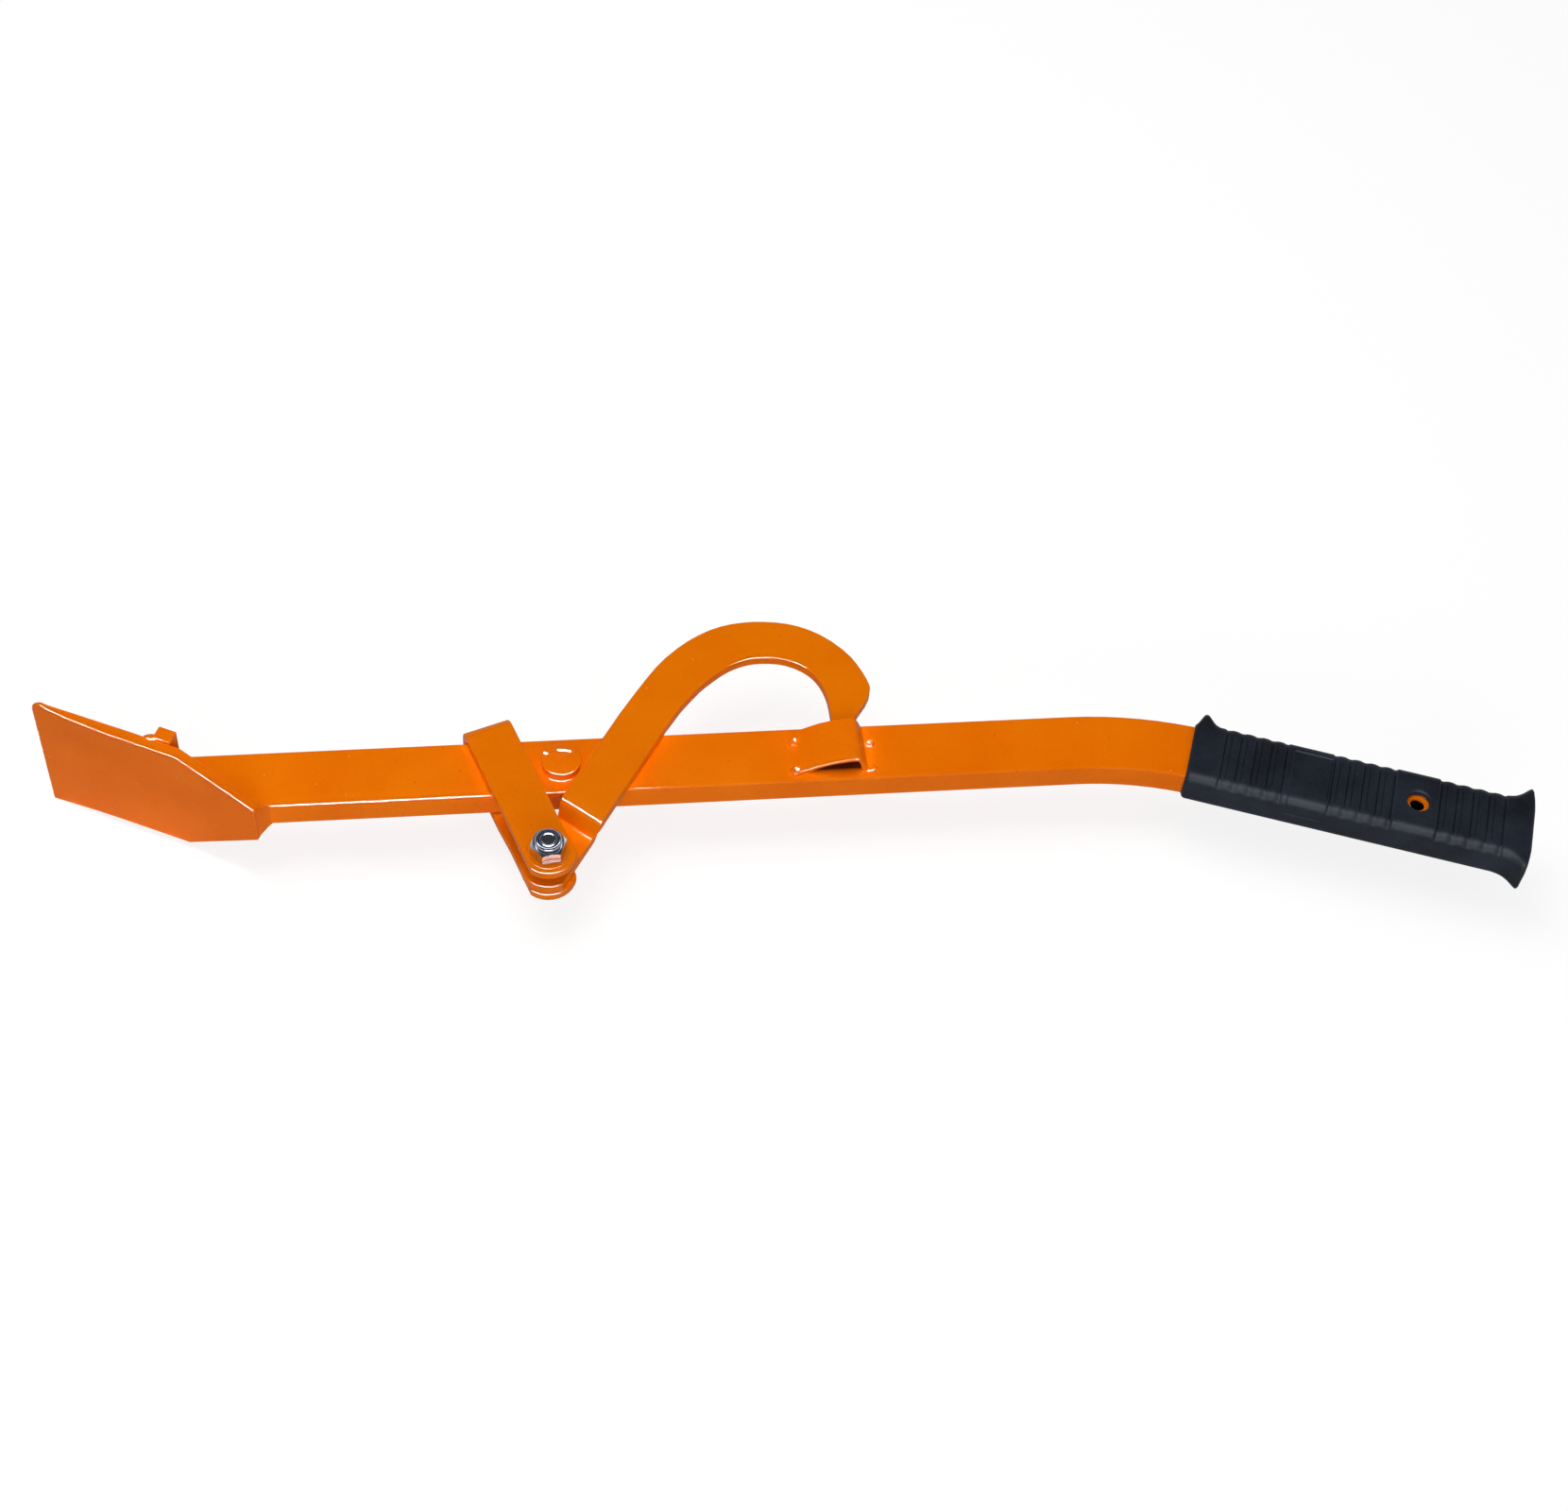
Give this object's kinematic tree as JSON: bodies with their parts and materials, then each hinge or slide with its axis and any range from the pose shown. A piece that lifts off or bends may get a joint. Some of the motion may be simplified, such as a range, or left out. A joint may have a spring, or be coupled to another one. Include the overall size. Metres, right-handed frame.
{
  "type": "felling lever",
  "caption": "Flat steel lever with a slanted felling blade, a loose stirrup that carries a cranked turning hook, a hook keeper and a ribbed rubber grip with a hanging hole.",
  "frame": {"origin": "under the middle of the whole in X and Y, at the height of the blade's lower edge", "axes": "+X along the tube from the blade to the grip, +Y away from the working side, +Z out of the face that carries the stop button and the keeper"},
  "size_m": [0.8058, 0.1908, 0.0858],
  "materials": {
    "orange_powder_coat": "semi-gloss powder coat",
    "zinc_plated_steel": "bright zinc",
    "nylon": "satin",
    "black_rubber": "matt moulded"
  },
  "bodies": {
    "lever": {"lever_bar": "orange_powder_coat", "blade": "orange_powder_coat", "blade_root_weld": "orange_powder_coat", "upper_heel_rib": "orange_powder_coat", "lower_heel_rib": "orange_powder_coat", "upper_rib_weld": "orange_powder_coat", "lower_rib_weld": "orange_powder_coat", "stop_button": "orange_powder_coat", "hook_keeper": "orange_powder_coat", "keeper_weld_blade_near": "orange_powder_coat", "keeper_weld_blade_far": "orange_powder_coat", "keeper_weld_grip_near": "orange_powder_coat", "keeper_weld_grip_far": "orange_powder_coat", "grip": "black_rubber"},
    "stirrup": {"stirrup": "orange_powder_coat", "pivot_bolt": "zinc_plated_steel", "pivot_nut": "zinc_plated_steel", "nut_lock_ring": "nylon"},
    "hook": {"turning_hook": "orange_powder_coat"}
  },
  "joints": [
    {"name": "stirrup_slide", "type": "slide", "parent": "lever", "child": "stirrup", "axis": [1, 0, 0], "range_m": [0, 0.005]},
    {"name": "hook_swing", "type": "hinge", "parent": "stirrup", "child": "hook", "pos_m": [-0.13838, -0.05294, 0.0439], "axis": [0, 0, 1], "range_deg": [0, 5]}
  ],
  "couplings": [
    {"joint": "hook_swing", "follows": "stirrup_slide", "rad_per_m": 17.45}
  ]
}
